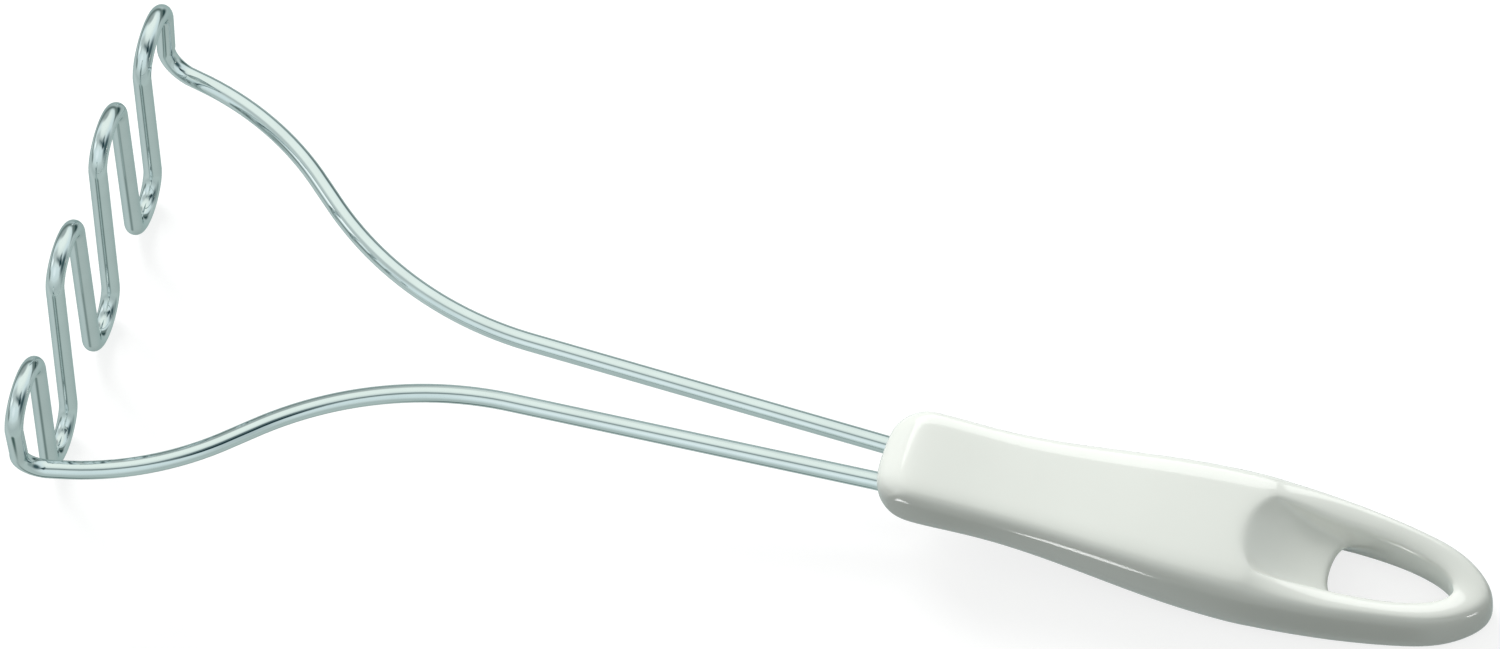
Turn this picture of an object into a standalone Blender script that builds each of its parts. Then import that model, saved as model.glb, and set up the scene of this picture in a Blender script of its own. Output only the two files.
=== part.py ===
"""Wire potato masher: a zigzag head bent from one round wire, and a moulded handle with a hang hole.

The tool is modelled along its own axes, in metres: +X from the head to the handle, +Z up, and the
arms of the wire in the plane z = 0. An empty then lays the tool down as it rests on a table, on the
bottom bends of the head and the tail of the handle, with the middle of its base at the origin.
"""

import math

import bmesh
import bpy
import numpy as np
from mathutils import Vector

# Wire
WIRE_DIAMETER = 0.0040
WIRE_SIDES_RESOLUTION = 4  # a curve's bevel resolution of 4 gives a tube of 12 sides
WIRE_SIDES = 2 * WIRE_SIDES_RESOLUTION + 4

# Head: a zigzag in the plane x = 0, with a bottom bend in the middle and an end bend at each side
LEG_PITCH = 0.0148  # from the middle of one bend to the middle of the next
HEAD_HEIGHT = 0.0614  # bottom bends to top bends, at the middle of the wire
HEAD_LIFT = 0.0038  # the middle of the head above the plane of the arms
TOP_BEND_RADIUS = 0.0072
BOTTOM_BEND_RADIUS = 0.0068
END_BEND_RADIUS = 0.0078
END_BEND_DROP = 0.0086  # how far the two end bends stay below the top bends

# Arms, in the plane z = 0: the corners of their line, and the radius of the bend at each
CORNER_BEYOND_END_BEND = 0.0065  # how much further out than the middle of the end bend
CORNER_BEND_RADIUS = 0.0066
SHOULDER_AHEAD_OF_CORNER = 0.0263
SHOULDER_INSIDE_CORNER = 0.0059
SHOULDER_BEND_RADIUS = 0.0680
NECK_FROM_HEAD = 0.0662
NECK_HALF_WIDTH = 0.0087
NECK_BEND_RADIUS = 0.0788
ENTRY_BEND_RADIUS = 0.0800
ARM_END_HALF_SPACING = 0.0045  # where the arms enter the handle

# Tails of the wire, inside the handle
TAIL_LENGTH = 0.0580  # from the front of the handle to the hook
HOOK_BEND_RADIUS = 0.0035
HOOK_LENGTH = 0.0062  # from the middle of the tail to the end of the hook

# Handle: x runs from its front, and its middle height lies above the arms
HANDLE_FRONT = 0.1750  # from the plane of the head
HANDLE_LENGTH = 0.1343
HANDLE_RISE = 0.0028
SECTION_EXPONENT = 7.0  # of the superellipse that is the handle's cross-section
NOSE_ROUND = 0.0090  # length over which the front rounds off, seen from above
NOSE_EXPONENT = 2.8
NOSE_HALF_WIDTH = 0.0113
NOSE_HALF_THICKNESS = 0.0067
WAIST_FROM_FRONT = 0.0230
WAIST_HALF_WIDTH = 0.0110
WAIST_HALF_THICKNESS = 0.0062
PALM_FROM_TAIL = 0.0563
PALM_HALF_WIDTH = 0.0150
PALM_HALF_THICKNESS = 0.0091
TAIL_ROUND = 0.0128  # length over which the tail rounds off, seen from above
TAIL_HALF_WIDTH = 0.0103
TAIL_HALF_THICKNESS = 0.0075

# Hang hole and thumb scoop, the same on the top and on the underside
HOLE_END_FROM_TAIL = 0.0088
HOLE_LENGTH = 0.0268
HOLE_HALF_WIDTH = 0.0077  # at its front edge; from there it is half an ellipse
SCOOP_LENGTH = 0.0186  # from its lip to the front edge of the hole
SCOOP_LIP_HALF_WIDTH = 0.0096
SCOOP_LIP_SLOPE = 0.85
WEB_HALF_THICKNESS = 0.0013  # of the edge between the two scoops
RIM_ROUND = 0.0010
RIM_DIP = 0.0020  # how far the rim round the hole lies below the handle's full thickness
RIM_DIP_LENGTH = 0.0200  # from the lip of the scoop to where the rim has dipped that far
HOLE_FRONT = HANDLE_LENGTH - HOLE_END_FROM_TAIL - HOLE_LENGTH
SCOOP_LIP = HOLE_FRONT - SCOOP_LENGTH

# Core, and the clearances between the pieces
SKIN_THICKNESS = 0.0020
CORE_FROM_FRONT = 0.0060
CORE_LENGTH = 0.0680
CORE_GROOVES = 3
CORE_GROOVE_WIDTH = 0.0050
CORE_GROOVE_DEPTH = 0.0010
CORE_RING_POINTS = 24
FIT_GAP = 0.0003

LEG_ROOM = 0.98  # the most that the bends at its two ends may take of a leg of the wire
FEWEST_BEND_STEPS = 4
WELD_DISTANCE = 0.00001
MIRROR_WELD_DISTANCE = 0.00005

IVORY = (0.79, 0.82, 0.78, 1.0)
NATURAL_PLASTIC = (0.55, 0.56, 0.53, 1.0)
CHROME = (0.78, 0.82, 0.83, 1.0)


def smooth_step(t):
    t = min(max(t, 0.0), 1.0)
    return t * t * (3.0 - 2.0 * t)


# ---------------------------------------------------------------- wire route


def tangent_leg(bend, next_bend):
    """Both ends (y, z) of the straight leg between two bends that turn opposite ways."""
    (y0, z0, r0), (y1, z1, r1) = bend, next_bend
    distance = math.hypot(y1 - y0, z1 - z0)
    along = math.atan2(z1 - z0, y1 - y0)
    spread = math.acos((r0 + r1) / distance)
    turns = (along + spread, along - spread)
    normal = max(((math.cos(a), math.sin(a)) for a in turns), key=lambda n: n[0])
    start = (y0 + normal[0] * r0, z0 + normal[1] * r0)
    end = (y1 - normal[0] * r1, z1 - normal[1] * r1)
    return start, end


def head_bend_points(bend, start, end, over_the_top, step=math.radians(10)):
    """Points (y, z) round a bend of the head from start to end."""
    y, z, radius = bend
    first = math.atan2(start[1] - z, start[0] - y)
    last = math.atan2(end[1] - z, end[0] - y)
    while over_the_top and last > first:
        last -= 2 * math.pi
    while not over_the_top and last < first:
        last += 2 * math.pi
    count = max(2, math.ceil(abs(last - first) / step))
    angles = [first + (last - first) * k / count for k in range(count + 1)]
    return [(y + radius * math.cos(a), z + radius * math.sin(a)) for a in angles]


def fillet(before, corner, after, radius, step=math.radians(5)):
    """Points of the round bend that replaces a corner of a line in space."""
    back = (before - corner).normalized()
    ahead = (after - corner).normalized()
    opening = back.angle(ahead)
    turn = math.pi - opening
    centre = corner + (back + ahead).normalized() * (radius / math.sin(opening / 2))
    spoke = corner + back * (radius / math.tan(opening / 2)) - centre
    last_spoke = corner + ahead * (radius / math.tan(opening / 2)) - centre
    count = max(FEWEST_BEND_STEPS, math.ceil(turn / step))
    points = []
    for k in range(count + 1):
        share = k / count
        a = math.sin((1 - share) * turn) / math.sin(turn)
        b = math.sin(share * turn) / math.sin(turn)
        points.append(centre + spoke * a + last_spoke * b)
    return points


def bend_radii(line):
    """The radius at each corner of a line, less where two bends would overlap on their leg."""
    corners = [corner for corner, _ in line]
    reaches = [0.0] * len(line)
    for k in range(1, len(line) - 1):
        opening = (corners[k - 1] - corners[k]).angle(corners[k + 1] - corners[k])
        reaches[k] = line[k][1] / math.tan(opening / 2)
    shares = [1.0] * len(line)
    for k in range(len(line) - 1):
        leg = (corners[k + 1] - corners[k]).length
        share = LEG_ROOM * leg / (reaches[k] + reaches[k + 1])
        shares[k] = min(shares[k], share)
        shares[k + 1] = min(shares[k + 1], share)
    return [radius * share for (_, radius), share in zip(line, shares)]


def corner_half_width():
    return 3 * LEG_PITCH + CORNER_BEYOND_END_BEND


def half_head_route():
    """Points of the zigzag from the middle of the head to the last bend, and the end of that bend."""
    top = HEAD_LIFT + HEAD_HEIGHT / 2
    bottom = HEAD_LIFT - HEAD_HEIGHT / 2
    bends = [
        (0.0, bottom + BOTTOM_BEND_RADIUS, BOTTOM_BEND_RADIUS),
        (LEG_PITCH, top - TOP_BEND_RADIUS, TOP_BEND_RADIUS),
        (2 * LEG_PITCH, bottom + BOTTOM_BEND_RADIUS, BOTTOM_BEND_RADIUS),
        (3 * LEG_PITCH, top - END_BEND_DROP - END_BEND_RADIUS, END_BEND_RADIUS),
    ]
    corner = (corner_half_width(), 0.0, 0.0)
    legs = [tangent_leg(a, b) for a, b in zip(bends, bends[1:] + [corner])]
    arrivals = [(0.0, bottom)] + [end for start, end in legs[:-1]]
    points = []
    for index, (bend, arrival, (leave, _)) in enumerate(zip(bends, arrivals, legs)):
        points += head_bend_points(bend, arrival, leave, over_the_top=index % 2 == 1)
    return [Vector((0.0, y, z)) for y, z in points]


def half_wire_route():
    """Middle line of half the wire, from the middle of the head to the end of the hook."""
    route = half_head_route()
    tail_end = HANDLE_FRONT + TAIL_LENGTH
    corner = Vector((0.0, corner_half_width(), 0.0))
    hook = Vector((tail_end, ARM_END_HALF_SPACING, 0.0))
    line = [
        (route[-1], 0.0),
        (corner, CORNER_BEND_RADIUS),
        (corner + Vector((SHOULDER_AHEAD_OF_CORNER, -SHOULDER_INSIDE_CORNER, 0.0)), SHOULDER_BEND_RADIUS),
        (Vector((NECK_FROM_HEAD, NECK_HALF_WIDTH, 0.0)), NECK_BEND_RADIUS),
        (Vector((HANDLE_FRONT, ARM_END_HALF_SPACING, 0.0)), ENTRY_BEND_RADIUS),
        (hook, HOOK_BEND_RADIUS),
        (hook + Vector((0.0, HOOK_LENGTH, 0.0)), 0.0),
    ]
    corners = [corner for corner, _ in line]
    radii = bend_radii(line)
    for before, corner, after, radius in zip(corners, corners[1:], corners[2:], radii[1:]):
        route += fillet(before, corner, after, radius)
    return route + [corners[-1]]


def tube(name, points, radius):
    """A round tube along points, as a curve object."""
    curve = bpy.data.curves.new(name, "CURVE")
    curve.dimensions = "3D"
    curve.bevel_depth = radius
    curve.bevel_resolution = WIRE_SIDES_RESOLUTION
    curve.use_fill_caps = True
    spline = curve.splines.new("POLY")
    spline.points.add(len(points) - 1)
    for spline_point, point in zip(spline.points, points):
        spline_point.co = (*point, 1.0)
    spline.use_smooth = True
    return bpy.data.objects.new(name, curve)


def make_masher_wire():
    half = half_wire_route()
    other_half = [Vector((p.x, -p.y, p.z)) for p in reversed(half[1:])]
    return tube("masher_wire", other_half + half, WIRE_DIAMETER / 2)


# ------------------------------------------------------------- handle outline


def along_handle(x, nose, waist, palm, tail):
    """A half width or half thickness at x from the handle's front, before its ends round off."""
    palm_at = HANDLE_LENGTH - PALM_FROM_TAIL
    if x < WAIST_FROM_FRONT:
        return nose + (waist - nose) * smooth_step((x - NOSE_ROUND) / (WAIST_FROM_FRONT - NOSE_ROUND))
    if x < palm_at:
        return waist + (palm - waist) * smooth_step((x - WAIST_FROM_FRONT) / (palm_at - WAIST_FROM_FRONT))
    return palm - (palm - tail) * ((x - palm_at) / (PALM_FROM_TAIL - TAIL_ROUND)) ** 2


def half_width(x):
    return along_handle(x, NOSE_HALF_WIDTH, WAIST_HALF_WIDTH, PALM_HALF_WIDTH, TAIL_HALF_WIDTH)


def half_thickness(x):
    return along_handle(
        x, NOSE_HALF_THICKNESS, WAIST_HALF_THICKNESS, PALM_HALF_THICKNESS, TAIL_HALF_THICKNESS
    )


def crown(share):
    """Height of the section at a share of its half width, as a share of its half thickness."""
    return (1.0 - min(share, 1.0) ** SECTION_EXPONENT) ** (1.0 / SECTION_EXPONENT)


def scoop_half_width(x):
    """Half width between the side walls of the scoop, down to that of the hole."""
    share = min(1.0, (HOLE_FRONT - x) / SCOOP_LENGTH)
    if share < 0.0:
        return HOLE_HALF_WIDTH * math.sqrt(1.0 - ((x - HOLE_FRONT) / HOLE_LENGTH) ** 2)
    return HOLE_HALF_WIDTH + (SCOOP_LIP_HALF_WIDTH - HOLE_HALF_WIDTH) * share


def rim_height(x):
    """Height of the rim round the scoop and the hole above the handle's middle height."""
    return half_thickness(x) - RIM_DIP * smooth_step((x - SCOOP_LIP) / RIM_DIP_LENGTH)


# ---------------------------------------------------------------- handle cage
#
# A quarter of the handle (y >= 0, and z >= 0 from its middle height) is a coarse cage of columns,
# each with the same rows. From the middle outwards they are the middle, two rows on the scoop's
# floor, the foot, the middle and the upper edge of the wall round the scoop and the hole, the crest
# of the rim and the outer shoulder. Past the hole's front edge the columns start at the wall's foot.

ROW_SHARES = (0.0, 0.26, 0.46, 0.54, 0.58, 0.64, 0.80, 0.945)  # of the half width, off the scoop
LIP_FLOOR_SHARES = (0.0, 0.48, 0.82, 0.98)  # of the hole's half width, on the scoop's floor
HOLE_FLOOR_SHARES = (0.0, 0.40, 0.66, 0.82)  # the same at the hole's front edge, whose corners round
FOOT_ROW = 3
SCOOP_COLUMN_SHARES = (0.055, 0.25, 0.50, 0.78, 0.96, 1.0)  # of the scoop's length
BAND_SHOULDER_SHARE = 0.86  # how far across the band the outer shoulder lies
BAND_SHOULDER_HEIGHT_SHARE = 0.87
LIP_BOW = 0.0036  # how far the lip of the scoop curves back at its sides
HOLE_BOW = 0.0036  # and the front edge of the hole
BODY_COLUMNS = 7  # from the waist to the lip of the scoop
BAND_COLUMNS = 3
END_SPOKES = 4  # columns that turn round the end of the hole, by equal angles
CAGE_SWELL = 1.012  # subdivision draws the cage in by about this much
CAGE_LEVELS = 1
EDGE_SHARE = 0.95  # how far the upper ring of the edge lies from the shoulder to the outline
EDGE_HEIGHT_SHARE = 0.60  # and its height as a share of the shoulder's
CORNER_LIFT = 0.06  # how far the scoop's floor turns up towards its side wall
CORNER_LIFT_POWER = 6
CREST_MOST_SHARE = 0.42  # how far across a narrow band the crest of its rim may lie
NOSE_COLUMN_SHARE = 0.54  # of the length of the rounded front, where the first column stands
NOSE_COLUMN_SHRINK = (0.95, 0.93)  # of its width and of its height
NOSE_COLUMN_FOLLOW = 0.55  # how far the column follows the curve of the front
NOSE_OUTLINE_SPAN = 0.97  # how much of the front's width its points on the outline take up
FRONT_COLUMNS = ((0.0084, 0.0050), (0.0140, 0.0125))  # x of each column, and of its outline point
BODY_BEFORE_LIP = 0.0045  # from the last column of the plain top to the lip
BODY_BOW = 0.0020  # how far that column bows with the lip
EDGE_BEFORE_LIP = 0.0009  # from the column that keeps the lip crisp to the lip


def top_point(x, y):
    return Vector((x, y, half_thickness(x) * crown(y / half_width(x))))


def outline_point(x):
    """A point on the widest outline of the handle, away from its rounded tail."""
    round_off = max(0.0, 1.0 - x / NOSE_ROUND)
    share = (1.0 - round_off**NOSE_EXPONENT) ** (1.0 / NOSE_EXPONENT)
    return Vector((x, half_width(x) * share, 0.0))


def body_column(x, bow=0.0):
    """A column over the plain top, bowed towards the tail by bow at the foot row and beyond."""
    column = []
    for share in ROW_SHARES:
        bowed = x + bow * min(1.0, share / ROW_SHARES[FOOT_ROW]) ** 2
        column.append(top_point(bowed, half_width(bowed) * share))
    return column


def nose_column():
    """The first column and its points on the outline, which follow the rounded front."""
    column = body_column(NOSE_COLUMN_SHARE * NOSE_ROUND)
    outline = []
    for point, share in zip(column, ROW_SHARES):
        y = NOSE_OUTLINE_SPAN * share * NOSE_HALF_WIDTH
        rest = (1.0 - (y / NOSE_HALF_WIDTH) ** NOSE_EXPONENT) ** (1.0 / NOSE_EXPONENT)
        outline.append(Vector((NOSE_ROUND * (1.0 - rest), y, 0.0)))
        point.x += NOSE_COLUMN_FOLLOW * outline[-1].x
        point.y *= NOSE_COLUMN_SHRINK[0]
        point.z *= NOSE_COLUMN_SHRINK[1]
    return column, outline


def scoop_floor(x):
    """Height of the scoop's floor above the handle's middle height."""
    lip = half_thickness(SCOOP_LIP)
    run = x - SCOOP_LIP
    fall = lip - WEB_HALF_THICKNESS
    bend = (SCOOP_LIP_SLOPE * SCOOP_LENGTH - fall) / SCOOP_LENGTH**2
    return lip - SCOOP_LIP_SLOPE * run + bend * run * run


def wall_middle(foot, upper):
    """A point on the wall below its upper edge, which keeps the rim's rounding short."""
    return Vector((upper.x, upper.y, upper.z - min(RIM_ROUND * 2, (upper.z - foot.z) / 2)))


def scoop_column(share, bow):
    """A column that crosses the scoop at a share of its length, bowed towards the tail."""
    x = SCOOP_LIP + share * SCOOP_LENGTH
    floor = scoop_floor(x) if share < 1.0 else 0.0
    outer = x + bow
    wall = scoop_half_width(outer)
    crest = Vector((outer, wall + RIM_ROUND, rim_height(outer) * crown(wall / half_width(outer))))
    upper = Vector((outer, wall, crest.z - min(RIM_ROUND, 0.5 * (crest.z - floor))))
    column = []
    for at_lip, at_hole in zip(LIP_FLOOR_SHARES, HOLE_FLOOR_SHARES):
        across = at_lip + (at_hole - at_lip) * share
        rise = CORNER_LIFT * min(floor, upper.z - floor) * across**CORNER_LIFT_POWER
        column.append(Vector((x + bow * across**3, wall * across, floor + rise)))
    shoulder = top_point(outer, half_width(outer) * ROW_SHARES[-1])
    return column + [wall_middle(column[-1], upper), upper, crest, shoulder]


def band_column(wall, outline):
    """A column across the band between the hole's wall and the handle's outline."""
    across = outline - wall
    crest = wall + across * min(CREST_MOST_SHARE, RIM_ROUND / across.length)
    shoulder = wall + across * BAND_SHOULDER_SHARE
    crest.z = rim_height(wall.x)
    shoulder.z = half_thickness(outline.x) * BAND_SHOULDER_HEIGHT_SHARE
    upper = Vector((wall.x, wall.y, crest.z - RIM_ROUND))
    return [wall, wall_middle(wall, upper), upper, crest, shoulder]


def handle_columns():
    """The columns of a quarter of the handle, and the point of the outline outside each."""
    nose, nose_outline = nose_column()
    columns = [nose]
    outlines = [nose_outline[-1]]
    for x, outline_x in FRONT_COLUMNS:
        columns.append(body_column(x))
        outlines.append(outline_point(outline_x))
    body_length = SCOOP_LIP - BODY_BEFORE_LIP - WAIST_FROM_FRONT
    for k in range(BODY_COLUMNS):
        share = k / (BODY_COLUMNS - 1)
        x = WAIST_FROM_FRONT + body_length * share
        bow = BODY_BOW * share**4
        columns.append(body_column(x, bow))
        outlines.append(outline_point(x + bow))
    edge = SCOOP_LIP - EDGE_BEFORE_LIP
    columns.append(body_column(edge, LIP_BOW))
    outlines.append(outline_point(edge + LIP_BOW))
    for share in SCOOP_COLUMN_SHARES:
        bow = LIP_BOW + (HOLE_BOW - LIP_BOW) * share
        columns.append(scoop_column(share, bow))
        outlines.append(outline_point(SCOOP_LIP + share * SCOOP_LENGTH + bow))
    return columns, outlines, nose_outline


def band_columns():
    """The columns from the hole's front edge round its end to the middle of the tail."""
    columns = []
    outlines = []
    tail_turn = HANDLE_LENGTH - TAIL_ROUND
    start = HOLE_FRONT + HOLE_BOW
    first = math.asin(HOLE_BOW / HOLE_LENGTH)
    steps = BAND_COLUMNS + END_SPOKES
    for k in range(1, steps + 1):
        angle = first + (math.radians(90.0) - first) * k / steps
        wall_x = HOLE_FRONT + HOLE_LENGTH * math.sin(angle)
        wall = Vector((wall_x, HOLE_HALF_WIDTH * math.cos(angle), 0.0))
        turn = math.radians(90.0) * max(0, k - BAND_COLUMNS) / END_SPOKES
        outline_x = start + (tail_turn - start) * min(1.0, k / BAND_COLUMNS)
        outline_x += TAIL_ROUND * math.sin(turn)
        outlines.append(Vector((outline_x, half_width(outline_x) * math.cos(turn), 0.0)))
        columns.append(band_column(wall, outlines[-1]))
    for point in columns[-1] + outlines[-1:]:
        point.y = 0.0
    return columns, outlines


def handle_cage():
    """Mesh of a quarter of the handle's cage, open at the planes that it is mirrored in."""
    cage = bmesh.new()

    def grow(point):
        return cage.verts.new((point.x, point.y * CAGE_SWELL, point.z * CAGE_SWELL))

    columns, outlines, nose_outline = handle_columns()
    grid = [[grow(point) for point in column] for column in columns]
    for left, right in zip(grid, grid[1:]):
        for a, b, c, d in zip(left, right, right[1:], left[1:]):
            cage.faces.new((a, b, c, d))
    band_points, band_outlines = band_columns()
    band = [grid[-1][FOOT_ROW:]] + [[grow(point) for point in column] for column in band_points]
    for left, right in zip(band, band[1:]):
        for a, b, c, d in zip(left, right, right[1:], left[1:]):
            cage.faces.new((a, b, c, d))
    shoulder = grid[0][:-1] + [column[-1] for column in grid] + [column[-1] for column in band[1:]]
    outline = nose_outline[:-1] + outlines + band_outlines
    upper_ring = []
    lower_ring = []
    for vertex, point in zip(shoulder, outline):
        out = Vector((point.x, point.y * CAGE_SWELL, 0.0))
        edge = vertex.co.lerp(out, EDGE_SHARE)
        edge.z = vertex.co.z * EDGE_HEIGHT_SHARE
        upper_ring.append(cage.verts.new(edge))
        lower_ring.append(cage.verts.new(out))
    for inner, outer in ((shoulder, upper_ring), (upper_ring, lower_ring)):
        for a, b, c, d in zip(inner, inner[1:], outer[1:], outer):
            cage.faces.new((a, b, c, d))
    bmesh.ops.recalc_face_normals(cage, faces=cage.faces)
    mesh = bpy.data.meshes.new("handle_shell")
    cage.to_mesh(mesh)
    cage.free()
    return mesh


def make_handle_body():
    """The outer body of the handle, with its scoops and hang hole, as a live modifier stack."""
    handle = bpy.data.objects.new("handle_shell", handle_cage())
    handle.location = (HANDLE_FRONT, 0.0, HANDLE_RISE)
    mirror = handle.modifiers.new("both sides and both faces", "MIRROR")
    mirror.use_axis = (False, True, True)
    mirror.use_clip = True
    mirror.merge_threshold = MIRROR_WELD_DISTANCE
    rounding = handle.modifiers.new("rounding", "SUBSURF")
    rounding.levels = CAGE_LEVELS
    rounding.render_levels = CAGE_LEVELS
    return handle


# ------------------------------------------------- core, its cavity, and wire channels


def locking_profile(gap):
    """Pairs of x and depth along the core: depth is how far a locking groove sinks its surface.

    A gap above zero gives the cavity round the core: longer than it, with ribs narrower than the
    grooves that they fill.
    """
    front = CORE_FROM_FRONT
    spacing = CORE_LENGTH / CORE_GROOVES
    half = CORE_GROOVE_WIDTH / 2 - gap
    profile = [(front - gap, 0.0)]
    for k in range(CORE_GROOVES):
        middle = front + spacing * (k + 0.5)
        if k > 0:
            profile.append((front + spacing * k, 0.0))
        profile.append((middle - half, 0.0))
        profile.append((middle - half + CORE_GROOVE_DEPTH, CORE_GROOVE_DEPTH))
        profile.append((middle + half - CORE_GROOVE_DEPTH, CORE_GROOVE_DEPTH))
        profile.append((middle + half, 0.0))
    profile.append((front + CORE_LENGTH + gap, 0.0))
    return profile


def core_loft(name, gap):
    """The core, or the cavity that leaves this gap round it, lofted between like sections."""
    loft = bmesh.new()
    power = 2.0 / SECTION_EXPONENT
    rings = []
    for x, depth in locking_profile(gap):
        inset = SKIN_THICKNESS + FIT_GAP - gap + depth
        ring = []
        for k in range(CORE_RING_POINTS):
            angle = 2 * math.pi * k / CORE_RING_POINTS
            c, s = math.cos(angle), math.sin(angle)
            y = (half_width(x) - inset) * math.copysign(abs(c) ** power, c)
            z = (half_thickness(x) - inset) * math.copysign(abs(s) ** power, s)
            ring.append(loft.verts.new((x, y, z)))
        rings.append(ring)
    for a, b in zip(rings, rings[1:]):
        for k in range(CORE_RING_POINTS):
            n = (k + 1) % CORE_RING_POINTS
            loft.faces.new((a[k], a[n], b[n], b[k]))
    loft.faces.new(rings[0])
    loft.faces.new(rings[-1])
    bmesh.ops.recalc_face_normals(loft, faces=loft.faces)
    mesh = bpy.data.meshes.new(name)
    loft.to_mesh(mesh)
    loft.free()
    core = bpy.data.objects.new(name, mesh)
    core.location = (HANDLE_FRONT, 0.0, HANDLE_RISE)
    return core


def channel_route(side, end_gap):
    """The wire's route from just outside the handle to this far past the end of its hook."""
    points = [Vector((p.x, side * p.y, p.z)) for p in half_wire_route()]
    tail = [p for p in points if p.x > HANDLE_FRONT + FIT_GAP]
    entry = tail[0] + (tail[0] - tail[1]).normalized() * (WIRE_DIAMETER + NOSE_ROUND)
    end = tail[-1] + (tail[-1] - tail[-2]).normalized() * end_gap
    return [entry] + tail + [end]


def channel_bore(side):
    """Cutter for the round channel that the wire lies in."""
    half_bore = (WIRE_DIAMETER / 2 + FIT_GAP) / math.cos(math.pi / WIRE_SIDES)
    route = channel_route(side, FIT_GAP)
    return as_mesh(tube(f"channel_bore_{side_name(side)}", route, half_bore))


def channel_slot(side):
    """Cutter that opens the channel through the underside of the core."""
    slot = bmesh.new()
    drop = Vector((0.0, 0.0, -HANDLE_RISE - PALM_HALF_THICKNESS))
    upper = [slot.verts.new(p) for p in channel_route(side, FIT_GAP / 2)]
    lower = [slot.verts.new(vertex.co + drop) for vertex in upper]
    for a, b, c, d in zip(upper, upper[1:], lower[1:], lower):
        slot.faces.new((a, b, c, d))
    mesh = bpy.data.meshes.new("channel_slot")
    slot.to_mesh(mesh)
    slot.free()
    ribbon = bpy.data.objects.new(f"channel_slot_{side_name(side)}", mesh)
    thickness = ribbon.modifiers.new("width of the slot", "SOLIDIFY")
    thickness.thickness = WIRE_DIAMETER + 2 * FIT_GAP
    thickness.offset = 0.0
    thickness.use_even_offset = True
    return ribbon


def side_name(side):
    return "left" if side > 0 else "right"


def as_mesh(curve_object):
    """The curve object made a closed mesh of the same name, with its caps welded on."""
    link(curve_object, bpy.context.scene.collection)
    graph = bpy.context.evaluated_depsgraph_get()
    mesh = bpy.data.meshes.new_from_object(curve_object.evaluated_get(graph))
    welded = bmesh.new()
    welded.from_mesh(mesh)
    bmesh.ops.remove_doubles(welded, verts=welded.verts, dist=WELD_DISTANCE)
    bmesh.ops.recalc_face_normals(welded, faces=welded.faces)
    welded.to_mesh(mesh)
    welded.free()
    name = curve_object.name
    place = curve_object.matrix_world.copy()
    bpy.data.objects.remove(curve_object)
    solid = bpy.data.objects.new(name, mesh)
    solid.matrix_world = place
    return solid


def cut(piece, cutter):
    difference = piece.modifiers.new(cutter.name, "BOOLEAN")
    difference.operation = "DIFFERENCE"
    difference.solver = "EXACT"
    difference.object = cutter


# -------------------------------------------------------------------- assembly


def new_collection(name):
    collection = bpy.data.collections.new(name)
    bpy.context.scene.collection.children.link(collection)
    return collection


def link(piece, collection):
    collection.objects.link(piece)
    bpy.context.view_layer.update()


def finish(piece, name, colour, roughness, metallic=0.0):
    material = bpy.data.materials.new(name)
    material.use_nodes = True
    shader = material.node_tree.nodes["Principled BSDF"]
    shader.inputs["Base Color"].default_value = colour
    shader.inputs["Roughness"].default_value = roughness
    shader.inputs["Metallic"].default_value = metallic
    material.diffuse_color = colour
    piece.data.materials.append(material)


def shade(piece, angle=math.radians(40)):
    piece.data.shade_smooth()
    piece.data.set_sharp_from_angle(angle=angle)


def world_points(pieces):
    """Every vertex of the finished pieces, in world space."""
    bpy.context.view_layer.update()
    graph = bpy.context.evaluated_depsgraph_get()
    points = []
    for piece in pieces:
        evaluated = piece.evaluated_get(graph)
        mesh = evaluated.to_mesh()
        points += [evaluated.matrix_world @ vertex.co for vertex in mesh.vertices]
        evaluated.to_mesh_clear()
    return points


def lay_down(pieces, handle, others, collection):
    """Turns the tool about its bottom bends until the handle's tail touches the table."""
    rest = bpy.data.objects.new("lying_on_a_table", None)
    link(rest, collection)
    for piece in pieces + others:
        piece.parent = rest
    bend = Vector((0.0, 0.0, HEAD_LIFT - HEAD_HEIGHT / 2))
    turns = []
    for point in world_points([handle]):
        reach = point - bend
        rise = math.atan2(reach.z, reach.x)
        turns.append(rise + math.asin(WIRE_DIAMETER / 2 / math.hypot(reach.x, reach.z)))
    rest.rotation_euler = (0.0, min(turns), 0.0)
    points = np.array([tuple(point) for point in world_points(pieces)])
    low, high = points.min(axis=0), points.max(axis=0)
    rest.location = (-(low[0] + high[0]) / 2, -(low[1] + high[1]) / 2, -low[2])


def main():
    for leftover in list(bpy.data.objects):
        bpy.data.objects.remove(leftover)
    bores = [channel_bore(side) for side in (1, -1)]
    slots = [channel_slot(side) for side in (1, -1)]
    cavity = core_loft("core_cavity", FIT_GAP)

    wire = make_masher_wire()
    finish(wire, "chromed steel wire", CHROME, roughness=0.1, metallic=1.0)
    core = core_loft("handle_core", 0.0)
    finish(core, "natural plastic", NATURAL_PLASTIC, roughness=0.5)
    shade(core)
    shell = make_handle_body()
    finish(shell, "ivory plastic", IVORY, roughness=0.15)
    shade(shell)

    cutters = new_collection("cutters")
    for cutter in bores + slots + [cavity]:
        link(cutter, cutters)
        cutter.hide_render = True
        cutter.display_type = "WIRE"
    masher = new_collection("potato_masher")
    for piece in (wire, core, shell):
        link(piece, masher)
    for cutter in [cavity] + bores:
        cut(shell, cutter)
    for cutter in bores + slots:
        cut(core, cutter)
    lay_down([wire, core, shell], shell, bores + slots + [cavity], masher)


if __name__ == "__main__":
    main()
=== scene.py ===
"""Looks of a hand potato masher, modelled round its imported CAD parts.

The wire and the handle are modelled along the masher's own axes, with the plane of the head at x = 0 and
the arms in the plane z = 0. Each is then laid down as the masher rests on a table: on the bottom bends of
its head and on the tail of its handle.
"""

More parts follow.
